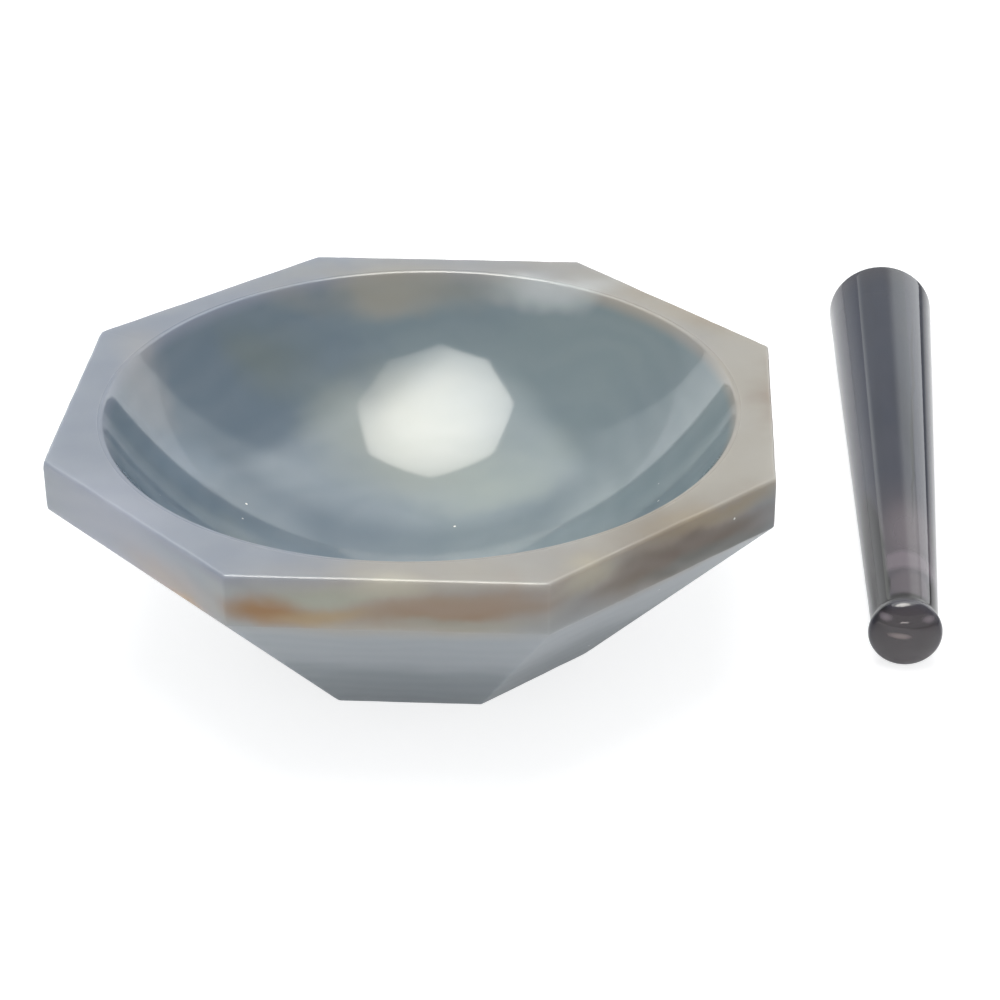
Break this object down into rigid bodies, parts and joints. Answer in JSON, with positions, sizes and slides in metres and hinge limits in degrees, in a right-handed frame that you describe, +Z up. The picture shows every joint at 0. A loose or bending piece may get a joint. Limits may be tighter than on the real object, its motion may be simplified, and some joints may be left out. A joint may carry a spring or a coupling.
{
  "type": "mortar and pestle",
  "caption": "Eight-sided polished agate mortar with a round bowl, and its loose tapered agate pestle with a knob end, laid beside it for grinding small samples.",
  "frame": {"origin": "centre of the mortar's base, on the surface that it stands on", "axes": "+Z up; +X from the mortar towards the pestle, square to one of the mortar's eight sides; +Y along the pestle from its knob to its grinding end"},
  "size_m": [0.1312, 0.1428, 0.0354],
  "materials": {
    "agate_mortar": "polished translucent blue-grey agate with brown bands",
    "agate_pestle": "polished translucent dark smoky agate"
  },
  "bodies": {
    "mortar": {"mortar": "agate_mortar"},
    "pestle": {"pestle": "agate_pestle"}
  },
  "joints": [
    {"name": "pestle_lift", "type": "slide", "parent": "mortar", "child": "pestle", "axis": [0, 0, 1], "range_m": [0, 0.06]}
  ]
}
